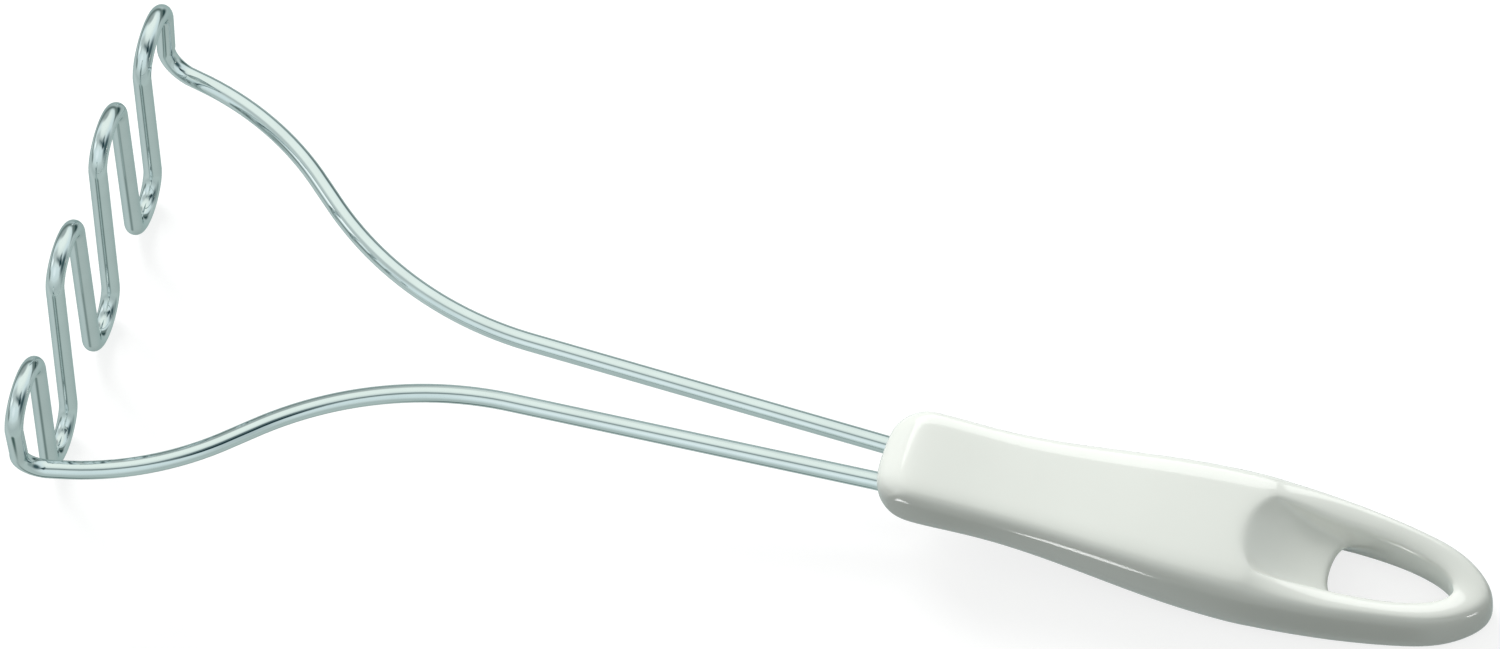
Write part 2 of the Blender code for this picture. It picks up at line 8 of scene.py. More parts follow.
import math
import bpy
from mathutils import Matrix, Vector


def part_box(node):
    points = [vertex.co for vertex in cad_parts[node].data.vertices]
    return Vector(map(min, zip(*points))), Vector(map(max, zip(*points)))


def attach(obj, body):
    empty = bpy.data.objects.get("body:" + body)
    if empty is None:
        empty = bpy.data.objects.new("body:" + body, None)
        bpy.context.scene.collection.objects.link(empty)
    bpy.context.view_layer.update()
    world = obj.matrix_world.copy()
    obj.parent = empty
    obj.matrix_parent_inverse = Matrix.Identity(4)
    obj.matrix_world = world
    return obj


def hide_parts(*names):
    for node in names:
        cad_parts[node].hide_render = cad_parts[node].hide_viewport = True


bl_info = {
    "name": "Potato masher",
    "version": (1, 0, 0),
    "blender": (4, 5, 0),
    "location": "3D View > Sidebar > Masher",
    "description": "Models a wire potato masher with a moulded handle, and the studio it is shown in",
    "category": "Object",
}

import bmesh
import bpy
from bpy.props import FloatProperty, FloatVectorProperty, IntProperty, PointerProperty
from bpy.types import Operator, Panel, PropertyGroup
from mathutils import Matrix, Vector

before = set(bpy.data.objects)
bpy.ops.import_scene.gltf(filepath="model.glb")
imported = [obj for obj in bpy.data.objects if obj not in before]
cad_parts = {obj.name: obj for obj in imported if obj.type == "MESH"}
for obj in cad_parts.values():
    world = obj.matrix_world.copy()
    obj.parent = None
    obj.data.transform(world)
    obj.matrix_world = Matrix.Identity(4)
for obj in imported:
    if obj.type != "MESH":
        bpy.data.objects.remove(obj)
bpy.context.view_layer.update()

# How the masher lies on the table
RESTING_TILT = math.radians(4.93081)

# Head of the wire: the middle of each bend, from the middle of the head outwards
LEG_PITCH = 0.0148
HEAD_HEIGHT = 0.0614
HEAD_LIFT = 0.0038
TOP_BEND_RADIUS = 0.0072
BOTTOM_BEND_RADIUS = 0.0068
END_BEND_RADIUS = 0.0078
END_BEND_DROP = 0.0086

# Arms
CORNER_HALF_WIDTH = 0.0509
CORNER_BEND_RADIUS = 0.0066
SHOULDER_AHEAD_OF_CORNER = 0.0263
SHOULDER_INSIDE_CORNER = 0.0059
SHOULDER_BEND_RADIUS = 0.0680
NECK_FROM_HEAD = 0.0662
NECK_HALF_WIDTH = 0.0087
NECK_BEND_RADIUS = 0.0788
ENTRY_BEND_RADIUS = 0.0800
ARM_END_HALF_SPACING = 0.0045
TAIL_LENGTH = 0.0580
HOOK_BEND_RADIUS = 0.0035
HOOK_LENGTH = 0.0062
LEG_ROOM = 0.98  # the most that the bends at its two ends may take of a leg
SHORTEST_RUN = 0.00003  # a straight shorter than this is left out

# How finely the wire is modelled
WIRE_SIDES = 32
BEND_STEP = math.radians(6)
ARC_STEP = 0.0024
FEWEST_BEND_STEPS = 4
END_INSET_SHARE = 0.125  # of the wire's radius, where its ends are closed

# Points nearer than this are joined along a mirror's plane
WIRE_WELD_DISTANCE = 0.00001
HANDLE_WELD_DISTANCE = 0.00005

# Handle. Pairs are the half width and the half thickness.
HANDLE_FRONT = 0.1750
HANDLE_LENGTH = 0.1343
HANDLE_RISE = 0.0028  # above the plane of the arms
SHARP_EDGE = math.radians(40)
SECTION_EXPONENT = 7.0  # of the superellipse that the handle's section is
NOSE_ROUND = 0.0090  # length over which the front rounds off, seen from above
NOSE_EXPONENT = 2.8
NOSE = (0.0113, 0.0067)
WAIST_FROM_FRONT = 0.0230
WAIST = (0.0110, 0.0062)
PALM_FROM_TAIL = 0.0563
PALM = (0.0150, 0.0091)
TAIL_ROUND = 0.0128
TAIL = (0.0103, 0.0075)

# Hang hole and thumb scoop
HOLE_LENGTH = 0.0268
HOLE_FROM_TAIL = 0.0088
HOLE_FRONT = HANDLE_LENGTH - HOLE_FROM_TAIL - HOLE_LENGTH
HOLE_HALF_WIDTH = 0.0077
SCOOP_LENGTH = 0.0186
SCOOP_LIP = HOLE_FRONT - SCOOP_LENGTH
SCOOP_LIP_HALF_WIDTH = 0.0096
SCOOP_LIP_SLOPE = 0.85
WEB_HALF_THICKNESS = 0.0013
RIM_ROUND = 0.0010
RIM_DIP = 0.0020  # how far the rim round the hole dips below the handle's half thickness
RIM_DIP_LENGTH = 0.0200  # from the lip of the scoop to where the rim has dipped that far

# Cavity and bores in the handle
SKIN_THICKNESS = 0.0020
CORE_FROM_FRONT = 0.0060
CORE_LENGTH = 0.0680
FIT_GAP = 0.0003
CAVITY_SIDES = 48
CAVITY_STATIONS = 8
BORE_OVERSHOOT = 4  # in its radii, how much longer a bore is than the wall it crosses, both ends together


# ------------------------------------------------------------------ modelling helpers


def start_alone():
    """Leaves nothing selected, so that an operator acts only on what it makes."""
    if bpy.context.object and bpy.context.object.mode != "OBJECT":
        bpy.ops.object.mode_set(mode="OBJECT")
    bpy.ops.object.select_all(action="DESELECT")


def name_piece(name):
    piece = bpy.context.object
    piece.name = name
    piece.data.name = name
    return piece


def make_active(piece):
    start_alone()
    piece.select_set(True)
    bpy.context.view_layer.objects.active = piece


def apply_modifiers(piece):
    make_active(piece)
    for modifier in list(piece.modifiers):
        bpy.ops.object.modifier_apply(modifier=modifier.name)


def apply_place(piece):
    make_active(piece)
    bpy.ops.object.transform_apply(location=True, rotation=True, scale=True)


def lay_down(piece, wire_radius):
    """Turns a piece from the masher's own axes to how it rests on the table."""
    bottom = HEAD_LIFT - HEAD_HEIGHT / 2
    wire_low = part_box("masher_wire")[0]
    piece.rotation_euler = (0.0, RESTING_TILT, 0.0)
    piece.location = (
        wire_low.x + wire_radius - bottom * math.sin(RESTING_TILT),
        0.0,
        wire_radius - bottom * math.cos(RESTING_TILT),
    )
    apply_place(piece)


def smooth_step(t):
    """Rises smoothly from 0 to 1 as t does, and stays level outside."""
    t = min(max(t, 0.0), 1.0)
    return t * t * (3.0 - 2.0 * t)


# ------------------------------------------------------------------ wire


def tangent_leg(bend, next_bend):
    """Both ends (y, z) of the straight leg between two bends that turn opposite ways."""
    (y0, z0, r0), (y1, z1, r1) = bend, next_bend
    distance = math.hypot(y1 - y0, z1 - z0)
    along = math.atan2(z1 - z0, y1 - y0)
    spread = math.acos((r0 + r1) / distance)
    normals = [(math.cos(a), math.sin(a)) for a in (along + spread, along - spread)]
    normal = max(normals)
    start = Vector((0.0, y0 + normal[0] * r0, z0 + normal[1] * r0))
    end = Vector((0.0, y1 - normal[0] * r1, z1 - normal[1] * r1))
    return start, end


def head_moves():
    """Bends and runs from the middle of the head to the end of its last bend."""
    top = HEAD_LIFT + HEAD_HEIGHT / 2
    bottom = HEAD_LIFT - HEAD_HEIGHT / 2
    bends = [
        (0.0, bottom + BOTTOM_BEND_RADIUS, BOTTOM_BEND_RADIUS),
        (LEG_PITCH, top - TOP_BEND_RADIUS, TOP_BEND_RADIUS),
        (2 * LEG_PITCH, bottom + BOTTOM_BEND_RADIUS, BOTTOM_BEND_RADIUS),
        (3 * LEG_PITCH, top - END_BEND_DROP - END_BEND_RADIUS, END_BEND_RADIUS),
        (CORNER_HALF_WIDTH, 0.0, 0.0),
    ]
    legs = [tangent_leg(a, b) for a, b in zip(bends, bends[1:])]
    arrival = Vector((0.0, 0.0, bottom))
    moves = []
    for index, ((y, z, _), (leave, next_arrival)) in enumerate(zip(bends, legs)):
        centre = Vector((0.0, y, z))
        turn = (arrival - centre).angle(leave - centre)
        # Every other bend is over the top. One of more than half a turn has both its ends past its middle.
        side = -1.0 if index % 2 else 1.0
        if side * (leave.z - centre.z) > 0.0 and side * (arrival.z - centre.z) > 0.0:
            turn = 2 * math.pi - turn
        moves.append(("bend", centre, Vector((side, 0.0, 0.0)), turn))
        if index < len(legs) - 1:
            moves.append(("run", next_arrival - leave))
        arrival = next_arrival
    return moves, legs[-1][0]


def arm_moves(start):
    """Bends and runs from the head's last bend to the end of the hook inside the handle."""
    corner = Vector((0.0, CORNER_HALF_WIDTH, 0.0))
    hook = Vector((HANDLE_FRONT + TAIL_LENGTH, ARM_END_HALF_SPACING, 0.0))
    line = [
        (start, 0.0),
        (corner, CORNER_BEND_RADIUS),
        (corner + Vector((SHOULDER_AHEAD_OF_CORNER, -SHOULDER_INSIDE_CORNER, 0.0)), SHOULDER_BEND_RADIUS),
        (Vector((NECK_FROM_HEAD, NECK_HALF_WIDTH, 0.0)), NECK_BEND_RADIUS),
        (Vector((HANDLE_FRONT, ARM_END_HALF_SPACING, 0.0)), ENTRY_BEND_RADIUS),
        (hook, HOOK_BEND_RADIUS),
        (hook + Vector((0.0, HOOK_LENGTH, 0.0)), 0.0),
    ]
    corners = [point for point, _ in line]
    radii = bend_radii(line)
    moves = []
    here = start
    for before, point, after, radius in zip(corners, corners[1:], corners[2:], radii[1:]):
        back = (before - point).normalized()
        ahead = (after - point).normalized()
        half_opening = back.angle(ahead) / 2
        reach = radius / math.tan(half_opening)
        arrival = point + back * reach
        if (arrival - here).length > SHORTEST_RUN:
            moves.append(("run", arrival - here))
        centre = point + (back + ahead).normalized() * (radius / math.sin(half_opening))
        moves.append(("bend", centre, ahead.cross(back).normalized(), math.pi - 2 * half_opening))
        here = point + ahead * reach
    moves.append(("run", corners[-1] - here))
    return moves


def bend_radii(line):
    """The radius at each corner of a line, less where two bends would overlap on their leg."""
    corners = [corner for corner, _ in line]
    reaches = [0.0] * len(line)
    for k in range(1, len(line) - 1):
        opening = (corners[k - 1] - corners[k]).angle(corners[k + 1] - corners[k])
        reaches[k] = line[k][1] / math.tan(opening / 2)
    shares = [1.0] * len(line)
    for k in range(len(line) - 1):
        leg = (corners[k + 1] - corners[k]).length
        share = LEG_ROOM * leg / (reaches[k] + reaches[k + 1])
        shares[k] = min(shares[k], share)
        shares[k + 1] = min(shares[k + 1], share)
    return [radius * share for (_, radius), share in zip(line, shares)]


def bend_and_run(moves, start):
    """Carries the selected ring through its bends and runs. Gives how far along the wire each ring lies."""
    lengths = [0.0]
    for move in moves:
        if move[0] == "run":
            bpy.ops.mesh.extrude_region_move(TRANSFORM_OT_translate={"value": move[1]})
            start = start + move[1]
            lengths.append(lengths[-1] + move[1].length)
            continue
        _, centre, axis, turn = move
        arc = (start - centre).length * turn
        steps = max(FEWEST_BEND_STEPS, math.ceil(turn / BEND_STEP), math.ceil(arc / ARC_STEP))
        # Away from a 3D view, Spin turns by the left-hand rule.
        bpy.ops.mesh.spin(steps=steps, angle=turn, center=centre, axis=-axis)
        lengths += [lengths[-1] + arc * (k + 1) / steps for k in range(steps)]
        start = centre + Matrix.Rotation(turn, 3, axis) @ (start - centre)
    return lengths


def follow_wire(wire, lengths, radius):
    """Stores where each point would lie if the wire were drawn out straight along X."""
    straight = wire.data.attributes.new("straightened", "FLOAT_VECTOR", "POINT")
    for index, item in enumerate(straight.data):
        angle = 2 * math.pi * (index % WIRE_SIDES) / WIRE_SIDES
        along = lengths[min(index // WIRE_SIDES, len(lengths) - 1)]
        item.vector = (along, radius * math.cos(angle), radius * math.sin(angle))


class MASHER_OT_bend_wire(Operator):
    """Bend the zigzag head and both arms of the masher from one round wire"""

    bl_idname = "masher.bend_wire"
    bl_label = "Bend the wire"

    def execute(self, context):
        sizes = context.scene.masher_wire
        radius = sizes.diameter / 2
        bottom = Vector((0.0, 0.0, HEAD_LIFT - HEAD_HEIGHT / 2))
        start_alone()
        bpy.ops.mesh.primitive_circle_add(
            vertices=WIRE_SIDES, radius=radius, location=bottom, rotation=(math.pi / 2, 0.0, 0.0)
        )
        wire = name_piece("wire_head_and_arms")
        apply_place(wire)
        bpy.ops.object.mode_set(mode="EDIT")
        bpy.ops.mesh.select_all(action="SELECT")
        moves, arm_start = head_moves()
        moves += arm_moves(arm_start)
        lengths = bend_and_run(moves, bottom)
        bpy.ops.mesh.edge_face_add()
        bpy.ops.mesh.inset(thickness=radius * END_INSET_SHARE)
        bpy.ops.object.mode_set(mode="OBJECT")
        follow_wire(wire, lengths, radius)
        mirror = wire.modifiers.new("other half", "MIRROR")
        mirror.use_axis = (False, True, False)
        mirror.merge_threshold = WIRE_WELD_DISTANCE
        apply_modifiers(wire)
        turn_out(wire)
        straight = wire.data.attributes["straightened"]
        for vertex, item in zip(wire.data.vertices, straight.data):
            if vertex.co.y < 0.0:
                item.vector.x *= -1.0
        lay_down(wire, radius)
        bpy.ops.object.shade_smooth()
        wire.data.materials.append(chrome_material(context.scene.masher_finish))
        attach(wire, "root")
        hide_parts("masher_wire")
        return {"FINISHED"}


def turn_out(piece):
    """Turns every face of the piece outwards."""
    make_active(piece)
    bpy.ops.object.mode_set(mode="EDIT")
    bpy.ops.mesh.select_all(action="SELECT")
    bpy.ops.mesh.normals_make_consistent(inside=False)
    bpy.ops.object.mode_set(mode="OBJECT")


# ------------------------------------------------------------------ handle outline


def along_handle(x, which):
    """The half width (which 0) or half thickness (1) at x from the handle's front."""
    palm_at = HANDLE_LENGTH - PALM_FROM_TAIL
    if x < WAIST_FROM_FRONT:
        share = smooth_step((x - NOSE_ROUND) / (WAIST_FROM_FRONT - NOSE_ROUND))
        return NOSE[which] + (WAIST[which] - NOSE[which]) * share
    if x < palm_at:
        share = smooth_step((x - WAIST_FROM_FRONT) / (palm_at - WAIST_FROM_FRONT))
        return WAIST[which] + (PALM[which] - WAIST[which]) * share
    fall = ((x - palm_at) / (PALM_FROM_TAIL - TAIL_ROUND)) ** 2
    return PALM[which] - (PALM[which] - TAIL[which]) * fall


def half_width(x):
    return along_handle(x, 0)


def half_thickness(x):
    return along_handle(x, 1)


def crown(share):
    """Height of the section at a share of its half width, as a share of its half thickness."""
    return (1.0 - min(share, 1.0) ** SECTION_EXPONENT) ** (1.0 / SECTION_EXPONENT)


def scoop_half_width(x):
    share = min(1.0, (HOLE_FRONT - x) / SCOOP_LENGTH)
    if share < 0.0:
        return HOLE_HALF_WIDTH * math.sqrt(1.0 - ((x - HOLE_FRONT) / HOLE_LENGTH) ** 2)
    return HOLE_HALF_WIDTH + (SCOOP_LIP_HALF_WIDTH - HOLE_HALF_WIDTH) * share


def rim_height(x):
    return half_thickness(x) - RIM_DIP * smooth_step((x - SCOOP_LIP) / RIM_DIP_LENGTH)


# ------------------------------------------------------------------ handle cage

# The cage is a lattice. A column runs across the handle, from its middle or from the hole to its side.
# A row runs along it. Two rings go round the front and the side: the rounded edge, and the outline (z = 0).

# Where the rows lie: on the body, as shares of its half width, and then on the scoop's floor at the lip and
# at the hole, as shares of the scoop's half width
ROW_SHARES = (0.0, 0.26, 0.46, 0.54, 0.58, 0.64, 0.80, 0.945)
LIP_FLOOR_SHARES = (0.0, 0.48, 0.82, 0.98)
HOLE_FLOOR_SHARES = (0.0, 0.40, 0.66, 0.82)
FOOT_ROW = 3  # the row where the scoop's floor meets its wall
CORNER_LIFT = 0.06  # the most that the floor rises towards its wall, as a share of the wall's height
CORNER_LIFT_POWER = 6

# Columns of the nose, the body, the scoop and the band round the hole
NOSE_COLUMN_SHARE = 0.54
NOSE_COLUMN_SHRINK = (0.95, 0.93)
NOSE_COLUMN_FOLLOW = 0.55  # how closely the first column follows the rounded front
NOSE_OUTLINE_SPAN = 0.97
FRONT_COLUMNS = ((0.0084, 0.0050), (0.0140, 0.0125))  # x of the column, and of its outline point
BODY_COLUMNS = 7
BODY_BEFORE_LIP = 0.0045
EDGE_BEFORE_LIP = 0.0009
SCOOP_COLUMN_SHARES = (0.055, 0.25, 0.50, 0.78, 0.96, 1.0)
BAND_COLUMNS = 3
END_SPOKES = 4

# How far a column curves back at its sides
BODY_BOW = 0.0020
BODY_BOW_POWER = 4  # how late it grows along the body
LIP_BOW = 0.0036
HOLE_BOW = 0.0036
FLOOR_BOW_POWER = 3  # how late it grows across the scoop's floor

# The crest and the shoulder of the rim, and the rounded edge outside it
CREST_MOST_SHARE = 0.42
BAND_SHOULDER_SHARE = 0.86
BAND_SHOULDER_HEIGHT_SHARE = 0.87
EDGE_SHARE = 0.95
EDGE_HEIGHT_SHARE = 0.60
CAGE_SWELL = 1.012  # makes up for the rounding, which pulls the surface inside its cage


def top_point(x, y):
    return Vector((x, y, half_thickness(x) * crown(y / half_width(x))))


def outline_point(x):
    round_off = max(0.0, 1.0 - x / NOSE_ROUND)
    share = (1.0 - round_off**NOSE_EXPONENT) ** (1.0 / NOSE_EXPONENT)
    return Vector((x, half_width(x) * share, 0.0))


def body_column(x, bow=0.0):
    column = []
    for share in ROW_SHARES:
        bowed = x + bow * min(1.0, share / ROW_SHARES[FOOT_ROW]) ** 2
        column.append(top_point(bowed, half_width(bowed) * share))
    return column


def nose_column():
    """The first column, which follows the rounded front, and the outline in front of it."""
    column = body_column(NOSE_COLUMN_SHARE * NOSE_ROUND)
    outline = []
    for point, share in zip(column, ROW_SHARES):
        y = NOSE_OUTLINE_SPAN * share * NOSE[0]
        rest = (1.0 - (y / NOSE[0]) ** NOSE_EXPONENT) ** (1.0 / NOSE_EXPONENT)
        outline.append(Vector((NOSE_ROUND * (1.0 - rest), y, 0.0)))
        point.x += NOSE_COLUMN_FOLLOW * outline[-1].x
        point.y *= NOSE_COLUMN_SHRINK[0]
        point.z *= NOSE_COLUMN_SHRINK[1]
    return column, outline


def scoop_floor(x):
    """Height of the scoop's floor: steep at its lip, level with the web at the hole."""
    lip = half_thickness(SCOOP_LIP)
    run = x - SCOOP_LIP
    fall = lip - WEB_HALF_THICKNESS
    bend = (SCOOP_LIP_SLOPE * SCOOP_LENGTH - fall) / SCOOP_LENGTH**2
    return lip - SCOOP_LIP_SLOPE * run + bend * run * run


def wall_middle(foot, upper):
    return Vector((upper.x, upper.y, upper.z - min(RIM_ROUND * 2, (upper.z - foot.z) / 2)))


def scoop_column(share, bow):
    """A column across the scoop, at a share of the way from its lip to the hole."""
    x = SCOOP_LIP + share * SCOOP_LENGTH
    floor = scoop_floor(x) if share < 1.0 else 0.0
    outer = x + bow
    wall = scoop_half_width(outer)
    crest = Vector((outer, wall + RIM_ROUND, rim_height(outer) * crown(wall / half_width(outer))))
    upper = Vector((outer, wall, crest.z - min(RIM_ROUND, 0.5 * (crest.z - floor))))
    column = []
    for at_lip, at_hole in zip(LIP_FLOOR_SHARES, HOLE_FLOOR_SHARES):
        across = at_lip + (at_hole - at_lip) * share
        rise = CORNER_LIFT * min(floor, upper.z - floor) * across**CORNER_LIFT_POWER
        column.append(Vector((x + bow * across**FLOOR_BOW_POWER, wall * across, floor + rise)))
    shoulder = top_point(outer, half_width(outer) * ROW_SHARES[-1])
    return column + [wall_middle(column[-1], upper), upper, crest, shoulder]


def band_column(wall, outline):
    """A column across the band round the hole, from the foot of the hole's wall to the shoulder."""
    across = outline - wall
    crest = wall + across * min(CREST_MOST_SHARE, RIM_ROUND / across.length)
    shoulder = wall + across * BAND_SHOULDER_SHARE
    crest.z = rim_height(wall.x)
    shoulder.z = half_thickness(outline.x) * BAND_SHOULDER_HEIGHT_SHARE
    upper = Vector((wall.x, wall.y, crest.z - RIM_ROUND))
    return [wall, wall_middle(wall, upper), upper, crest, shoulder]


def handle_columns():
    """The columns from the nose to the hole's front edge, and where each meets the outline."""
    nose, nose_outline = nose_column()
    columns = [nose]
    outlines = [nose_outline[-1]]
    for x, outline_x in FRONT_COLUMNS:
        columns.append(body_column(x))
        outlines.append(outline_point(outline_x))
    body_length = SCOOP_LIP - BODY_BEFORE_LIP - WAIST_FROM_FRONT
    for k in range(BODY_COLUMNS):
        share = k / (BODY_COLUMNS - 1)
        x = WAIST_FROM_FRONT + body_length * share
        bow = BODY_BOW * share**BODY_BOW_POWER
        columns.append(body_column(x, bow))
        outlines.append(outline_point(x + bow))
    edge = SCOOP_LIP - EDGE_BEFORE_LIP
    columns.append(body_column(edge, LIP_BOW))
    outlines.append(outline_point(edge + LIP_BOW))
    for share in SCOOP_COLUMN_SHARES:
        bow = LIP_BOW + (HOLE_BOW - LIP_BOW) * share
        columns.append(scoop_column(share, bow))
        outlines.append(outline_point(SCOOP_LIP + share * SCOOP_LENGTH + bow))
    return columns, outlines, nose_outline


def band_columns():
    """The columns from the hole's front edge round its end to the middle of the tail."""
    columns = []
    outlines = []
    tail_turn = HANDLE_LENGTH - TAIL_ROUND
    start = HOLE_FRONT + HOLE_BOW
    first = math.asin(HOLE_BOW / HOLE_LENGTH)
    steps = BAND_COLUMNS + END_SPOKES
    for k in range(1, steps + 1):
        angle = first + (math.radians(90.0) - first) * k / steps
        wall_x = HOLE_FRONT + HOLE_LENGTH * math.sin(angle)
        wall = Vector((wall_x, HOLE_HALF_WIDTH * math.cos(angle), 0.0))
        turn = math.radians(90.0) * max(0, k - BAND_COLUMNS) / END_SPOKES
        outline_x = start + (tail_turn - start) * min(1.0, k / BAND_COLUMNS)
        outline_x += TAIL_ROUND * math.sin(turn)
        outlines.append(Vector((outline_x, half_width(outline_x) * math.cos(turn), 0.0)))
        columns.append(band_column(wall, outlines[-1]))
    for point in columns[-1] + outlines[-1:]:
        point.y = 0.0
    return columns, outlines


def edge_ring(shoulder, out):
    edge = shoulder.lerp(out, EDGE_SHARE)
    edge.z = shoulder.z * EDGE_HEIGHT_SHARE
    return edge


def lattice_points():
    """Where each point of the quarter cage goes, by its column, row and ring."""
    columns, outlines, nose_outline = handle_columns()
    band, band_outlines = band_columns()
    places = {}
    for i, column in enumerate(columns):
        for j, point in enumerate(column):
            places[i, j, 0] = point
    for i, column in enumerate(band, len(columns)):
        for j, point in enumerate(column, FOOT_ROW):
            places[i, j, 0] = point
    top_row = len(ROW_SHARES) - 1
    rim = {(0, j): point for j, point in enumerate(nose_outline)}
    rim.update({(i, top_row): point for i, point in enumerate(outlines + band_outlines)})
    for (i, j), out in rim.items():
        places[i, j, 1] = edge_ring(places[i, j, 0], out)
        places[i, j, 2] = out
    return places, len(columns), len(columns) + len(band)


def select_edges(piece, wanted):
    """In edit mode: selects only the boundary edges whose two ends both pass."""
    cage = bmesh.from_edit_mesh(piece.data)
    bpy.ops.mesh.select_all(action="DESELECT")
    for edge in cage.edges:
        if edge.is_boundary and all(wanted(vertex.co) for vertex in edge.verts):
            edge.select = True
    cage.select_flush(True)
    bmesh.update_edit_mesh(piece.data)


def mould_handle(levels):
    """The outer body of the handle: a quarter modelled from a grid, mirrored and rounded."""
    places, body_count, column_count = lattice_points()
    rows = len(ROW_SHARES)
    start_alone()
    bpy.ops.mesh.primitive_grid_add(x_subdivisions=column_count - 1, y_subdivisions=rows - 1)
    handle = name_piece("handle_moulding")
    for index, vertex in enumerate(handle.data.vertices):
        vertex.co = (index % column_count, index // column_count, 0.0)
    bpy.ops.object.mode_set(mode="EDIT")
    bpy.ops.mesh.select_mode(type="FACE")
    bpy.ops.mesh.select_all(action="DESELECT")
    cage = bmesh.from_edit_mesh(handle.data)
    for face in cage.faces:
        middle = face.calc_center_median()
        face.select = middle.x > body_count - 1 and middle.y < FOOT_ROW
    bmesh.update_edit_mesh(handle.data)
    bpy.ops.mesh.delete(type="FACE")
    bpy.ops.mesh.select_mode(type="EDGE")
    select_edges(handle, lambda co: co.x < 0.5 or co.y > rows - 1.5)
    for _ in range(2):
        bpy.ops.mesh.extrude_edges_move(TRANSFORM_OT_translate={"value": (0.0, 0.0, 1.0)})
    bpy.ops.object.mode_set(mode="OBJECT")
    for vertex in handle.data.vertices:
        point = places[tuple(round(value) for value in vertex.co)]
        vertex.co = (point.x, point.y * CAGE_SWELL, point.z * CAGE_SWELL)
    turn_out(handle)
    mirror = handle.modifiers.new("both sides and both faces", "MIRROR")
    mirror.use_axis = (False, True, True)
    mirror.use_clip = True
    mirror.merge_threshold = HANDLE_WELD_DISTANCE
    rounding = handle.modifiers.new("rounding", "SUBSURF")
    rounding.levels = levels
    rounding.render_levels = levels
    apply_modifiers(handle)
    turn_out(handle)
    return handle


def cavity_cutter():
    """The hollow for the core, as a cylinder along X shaped to the inside of the skin."""
    start_alone()
    bpy.ops.mesh.primitive_cylinder_add(
        vertices=CAVITY_SIDES, radius=1.0, depth=1.0, rotation=(0.0, math.pi / 2, 0.0)
    )
    cavity = name_piece("core_cavity")
    apply_place(cavity)
    bpy.ops.object.mode_set(mode="EDIT")
    for k in range(1, CAVITY_STATIONS):
        bpy.ops.mesh.select_all(action="SELECT")
        bpy.ops.mesh.bisect(plane_co=(k / CAVITY_STATIONS - 0.5, 0.0, 0.0), plane_no=(1.0, 0.0, 0.0))
    bpy.ops.object.mode_set(mode="OBJECT")
    power = 2.0 / SECTION_EXPONENT
    for vertex in cavity.data.vertices:
        x = CORE_FROM_FRONT - FIT_GAP + (vertex.co.x + 0.5) * (CORE_LENGTH + 2 * FIT_GAP)
        y = (half_width(x) - SKIN_THICKNESS) * math.copysign(abs(vertex.co.y) ** power, vertex.co.y)
        z = (half_thickness(x) - SKIN_THICKNESS) * math.copysign(abs(vertex.co.z) ** power, vertex.co.z)
        vertex.co = (x, y, z)
    turn_out(cavity)
    return cavity


def bore_cutter(side, radius):
    """The hole that one arm of the wire goes in by."""
    start_alone()
    neck = Vector((NECK_FROM_HEAD, NECK_HALF_WIDTH, 0.0))
    entry = Vector((HANDLE_FRONT, ARM_END_HALF_SPACING, 0.0))
    lead = (entry - neck).normalized()
    overshoot = BORE_OVERSHOOT * radius
    depth = CORE_FROM_FRONT + overshoot
    middle = Vector(((depth - overshoot) / 2, side * ARM_END_HALF_SPACING, -HANDLE_RISE))
    bpy.ops.mesh.primitive_cylinder_add(
        vertices=WIRE_SIDES, radius=radius, depth=depth, location=middle, rotation=(0.0, math.pi / 2, 0.0)
    )
    bore = name_piece("wire_bore")
    bore.rotation_euler.z = side * math.atan2(lead.y, lead.x) / 2
    apply_place(bore)
    return bore


def cut_away(piece, cutters):
    for cutter in cutters:
        difference = piece.modifiers.new(cutter.name, "BOOLEAN")
        difference.operation = "DIFFERENCE"
        difference.solver = "EXACT"
        difference.object = cutter
    apply_modifiers(piece)
    for cutter in cutters:
        bpy.data.objects.remove(cutter)


class MASHER_OT_mould_handle(Operator):
    """Mould the ivory handle, with its thumb scoop, hang hole and the hollow for its core"""

    bl_idname = "masher.mould_handle"
    bl_label = "Mould the handle"

    def execute(self, context):
        sizes = context.scene.masher_handle
        wire_radius = context.scene.masher_wire.diameter / 2
        handle = mould_handle(sizes.rounding_levels)
        bores = [bore_cutter(side, wire_radius + FIT_GAP) for side in (1, -1)]
        cut_away(handle, [cavity_cutter()] + bores)
        handle.location = (HANDLE_FRONT, 0.0, HANDLE_RISE)
        apply_place(handle)
        lay_down(handle, wire_radius)
        bpy.ops.object.shade_smooth_by_angle(angle=SHARP_EDGE)
        handle.data.materials.append(ivory_material(context.scene.masher_finish))
        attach(handle, "root")
        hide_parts("handle_shell")
        return {"FINISHED"}


class MASHER_OT_finish_core(Operator):
    """Give the core inside the handle the look of plain moulded plastic"""

    bl_idname = "masher.finish_core"
    bl_label = "Finish the core"

    def execute(self, context):
        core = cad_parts["handle_core"]
        core.data.materials.clear()
        core.data.materials.append(core_material(context.scene.masher_finish))
        return {"FINISHED"}


# ------------------------------------------------------------------ materials

# The range that most of a noise texture's values lie in
NOISE_LOW = 0.3
NOISE_HIGH = 0.7


def new_material(name):
    """A new material, its node tree and its Principled BSDF."""
    material = bpy.data.materials.new(name)
    material.use_nodes = True
    tree = material.node_tree
    return material, tree, tree.nodes["Principled BSDF"]


def set_socket(tree, socket, value):
    """Links a socket to another node's, or gives it a colour or a number."""
    if isinstance(value, bpy.types.NodeSocket):
        tree.links.new(value, socket)
    elif socket.type == "RGBA":
        socket.default_value = (*value[:3], 1.0)
    else:
        socket.default_value = value


def add_node(tree, kind, label, inputs=None, **settings):
    """Adds a labelled node with its settings, and fills the inputs that are named or numbered."""
    node = tree.nodes.new(kind)
    node.label = label
    node.name = label
    for key, value in settings.items():
        setattr(node, key, value)
    for key, value in (inputs or {}).items():
        set_socket(tree, node.inputs[key], value)
    return node


